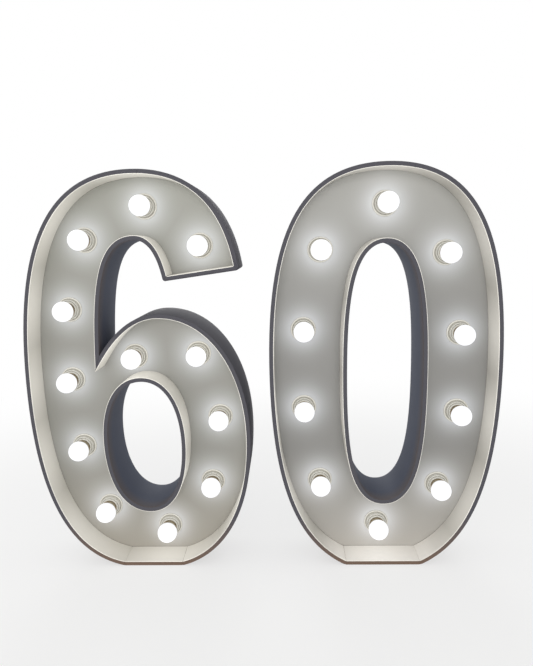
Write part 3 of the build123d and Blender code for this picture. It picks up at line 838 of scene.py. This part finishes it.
def stands(name, across):
    """The axes of a node's separate turned pieces, each narrower than a width in millimetres."""
    groups = []
    for vertex in nodes[name].data.vertices:
        spot = Vector((vertex.co.x, 0, vertex.co.z))
        near = [group for group in groups if (group[0] - spot).length < across * MM]
        if near:
            near[0].append(spot)
        else:
            groups.append([spot])
    boxes = [(Vector(map(min, zip(*group))), Vector(map(max, zip(*group)))) for group in groups]
    return [middle(box) for box in boxes]


SCREW_LENGTH = 16
SCREW_SPAN = 10
CROSS_WIDTH = 0.9
CROSS_LENGTH = 4.2
CROSS_DEPTH = 2.6
CROSS_TAPER = 0.45
screw_profile = [
    (AXIS, -SCREW_LENGTH), (0.5, 1 - SCREW_LENGTH), (1.3, 3 - SCREW_LENGTH), (1.3, -2.4), (1.75, -1.75),
    (3.3, -0.2), (3.45, -0.05), (AXIS, -0.05),
]
screw = turned("screw", screw_profile, sides=32)
bead_start = 3.4 - SCREW_LENGTH
bead = thread_bead(radius=0.42, middle_radius=1.3, pitch=1.3, turns=8, start=bead_start, steps=16, sides=6)
combine(screw, bead, "UNION")
for turn in (0, math.pi / 2):
    deselect()
    bpy.ops.mesh.primitive_cube_add(size=1, rotation=(0, turn, 0))
    wedge = bpy.context.object
    wedge.scale = [side * MM for side in (CROSS_LENGTH, 2 * CROSS_DEPTH, CROSS_WIDTH)]
    bpy.ops.object.transform_apply(location=True, rotation=True, scale=True)
    choose_faces(wedge, lambda face: face.normal.y < -FLAT_ON)
    bpy.ops.transform.resize(value=(CROSS_TAPER, 1, CROSS_TAPER))
    bpy.ops.object.mode_set(mode="OBJECT")
    combine(screw, wedge, "DIFFERENCE")
slots(screw, zinc)
for numeral in NUMERALS:
    found = stands(f"{numeral}_cover_screws", SCREW_SPAN)
    places = [spot + Vector((0, cover_rear, 0)) for spot in found]
    piece = copies_at(screw, f"{numeral}_cross_head_screws", places)
    finish_piece(piece, "root", "screw_steel", f"{numeral}_cover_screws")
    print(numeral, "screws", len(places))
bpy.data.objects.remove(screw)

# %% [markdown]
# The cord's inlet is a rubber grommet that is snapped into the cover: two soft rounded flanges with a
# waist between them. It is another closed profile, whose lips are rounded in a few steps.

# %% Cord grommets
# Moulded rubber is nearly black and dull, with the fine grain of its tool.
blacks = (0x1B1B1C, 0x262627)
rubber = plain_finish("black moulded rubber", 0.6, patch=5, tones=blacks, grains=(0.5, 0.02), ior=1.52)

grommet_profile = [
    (4.1, -4.2), (4.5, -4.9), (8.0, -4.9), (8.7, -4.5), (8.9, -3.9), (8.7, -3.1), (6.2, -3.1),
    (6.2, 0.1), (8.7, 0.1), (8.9, 0.9), (8.7, 1.5), (8.0, 1.9), (4.5, 1.9), (4.1, 1.2), (4.1, -4.2),
]
grommet = turned("grommet", grommet_profile, sides=48)
slots(grommet, rubber)
for numeral in NUMERALS:
    centre = middle(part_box(f"{numeral}_cord_grommet"))
    place = Vector((centre.x, cover_rear, centre.z))
    piece = copies_at(grommet, f"{numeral}_rubber_grommet", [place])
    finish_piece(piece, "root", "grommet_rubber", f"{numeral}_cord_grommet")
bpy.data.objects.remove(grommet)
print("grommets", len(NUMERALS))

# %% [markdown]
# The pieces that keep their shape from the model get their finish here: the panels, and what lies
# hidden behind them.

# %% Finishes for the pieces that stay
# The sheath is soft extruded PVC, smooth and a little shiny. Natural polyamide is milky and yellowish,
# with a silky moulded skin.
sheath = plain_finish("white flexible PVC sheath", 0.35, patch=10, tones=(0xD9D8D2, 0xE4E3DE))
polyamide = plain_finish("natural polyamide", 0.4, patch=6, tones=(0xD2CCB4, 0xDEDAC6))

for numeral in NUMERALS:
    slots(nodes[f"{numeral}_back_panel"], white_panels[numeral])
    slots(nodes[f"{numeral}_cover_posts"], white_walls[numeral])
    slots(nodes[f"{numeral}_flex"], sheath)
    slots(nodes[f"{numeral}_terminal_block"], polyamide)
print("kept pieces", 4 * len(NUMERALS))

# %% [markdown]
# The number stands on a pale floor in front of nothing: what the camera sees behind it is plain white,
# which a Light Path node gives without adding light to the object. The same node lifts the floor's
# paper towards white where a camera sees it, and fully so two metres away, so that the floor fades into
# the white and keeps the soft shadow at the number's foot.

# %% Floor and background
def seen_directly(tree):
    """1 for a ray that comes from the camera, a mirror or glass, and 0 for one that carries light."""
    rays = node(tree, "ShaderNodeLightPath").outputs
    seen = rays["Is Camera Ray"]
    for name in ("Is Glossy Ray", "Is Transmission Ray"):
        seen = node(tree, "ShaderNodeMath", {0: seen, 1: rays[name]}, operation="MAXIMUM").outputs[0]
    return seen


FLOOR_SIZE = 16
NEAR = 0.75
FAR = 1.9
LIFT = 0.6
deselect()
bpy.ops.mesh.primitive_plane_add(size=FLOOR_SIZE, location=(0, 3, 0))
floor = bpy.context.object
floor.name = "floor"
bpy.ops.object.transform_apply(location=True)
floor_paper, tree, shader, point = new_material("pale studio paper", roughness=0.9)
tree.links.new(mottle(tree, point, 400, 0xEEEEED, 0xF2F2F1), shader.inputs["Base Color"])
away = node(tree, "ShaderNodeVectorMath", {0: point}, operation="LENGTH")
ends = {"Value": away.outputs["Value"], "From Min": NEAR, "From Max": FAR}
far = node(tree, "ShaderNodeMapRange", ends, interpolation_type="SMOOTHSTEP")
white = node(tree, "ShaderNodeEmission", {"Color": (1, 1, 1, 1), "Strength": 1.0})
lifted = node(tree, "ShaderNodeMapRange", {"Value": far.outputs[0], "To Min": LIFT})
factors = {0: lifted.outputs[0], 1: seen_directly(tree)}
share = node(tree, "ShaderNodeMath", factors, operation="MULTIPLY")
mixed = node(tree, "ShaderNodeMixShader", {0: share.outputs[0], 1: shader.outputs[0], 2: white.outputs[0]})
tree.links.new(mixed.outputs[0], tree.nodes["Material Output"].inputs["Surface"])
slots(floor, floor_paper)

SKY = 0.68
world = bpy.data.worlds.new("studio")
bpy.context.scene.world = world
world.use_nodes = True
tree = world.node_tree
strength = node(tree, "ShaderNodeMix", {0: seen_directly(tree), 2: SKY, 3: 1.0})
background = tree.nodes["Background"]
background.inputs["Color"].default_value = (1, 1, 1, 1)
tree.links.new(strength.outputs[0], background.inputs["Strength"])
print("floor", [round(c, 2) for c in floor.dimensions])

# %% [markdown]
# A broad soft lamp stands in front, behind the camera and at its height, so that the walls throw no
# hard shadow into the recess. A weak one to the left gives the edges some shape, and a third at the back
# shows the rear covers. Their power is set so that a colour renders about as it is written.

# %% Studio light
LAMP_AIM = Vector((0, 0, 0.45))


def softbox(name, place, size, power):
    """A broad square lamp at a place, turned towards the middle of the numerals."""
    data = bpy.data.lights.new(name, "AREA")
    data.size = size
    data.energy = power
    lamp = bpy.data.objects.new(name, data)
    lamp.location = place
    lamp.rotation_euler = (LAMP_AIM - Vector(place)).to_track_quat("-Z", "Y").to_euler()
    bpy.context.scene.collection.objects.link(lamp)


softbox("key", (0.0, -3.3, 0.75), size=2.2, power=46)
softbox("fill", (-1.9, -2.3, 1.1), size=1.6, power=8)
softbox("rear", (-0.3, 3.0, 1.2), size=1.6, power=30)

# %% [markdown]
# The camera stands a little over a metre in front and looks slightly down, with a small tilt, as in
# the photograph. Its lens is worked out from the picture's height of 666 pixels.

# %% Camera
PICTURE_HEIGHT = 666
FOCAL_PIXELS = 540
CAMERA_PLACE = (0.0595, -1.2106, 0.7447)
CAMERA_TURN = (2.17, 9.64, -1.45)
camera_data = bpy.data.cameras.new("camera")
camera_data.sensor_width = 36
camera_data.lens = FOCAL_PIXELS * camera_data.sensor_width / PICTURE_HEIGHT
camera_data.clip_start = 0.01
camera = bpy.data.objects.new("camera", camera_data)
yaw, pitch, roll = (math.radians(angle) for angle in CAMERA_TURN)
turn = Matrix.Rotation(yaw, 4, "Z") @ Matrix.Rotation(math.pi / 2 - pitch, 4, "X")
turn = turn @ Matrix.Rotation(roll, 4, "Z")
camera.matrix_world = Matrix.Translation(CAMERA_PLACE) @ turn
bpy.context.scene.collection.objects.link(camera)
bpy.context.scene.camera = camera
bpy.context.scene.view_settings.view_transform = "Standard"
print("lens", round(camera_data.lens, 2), "mm")
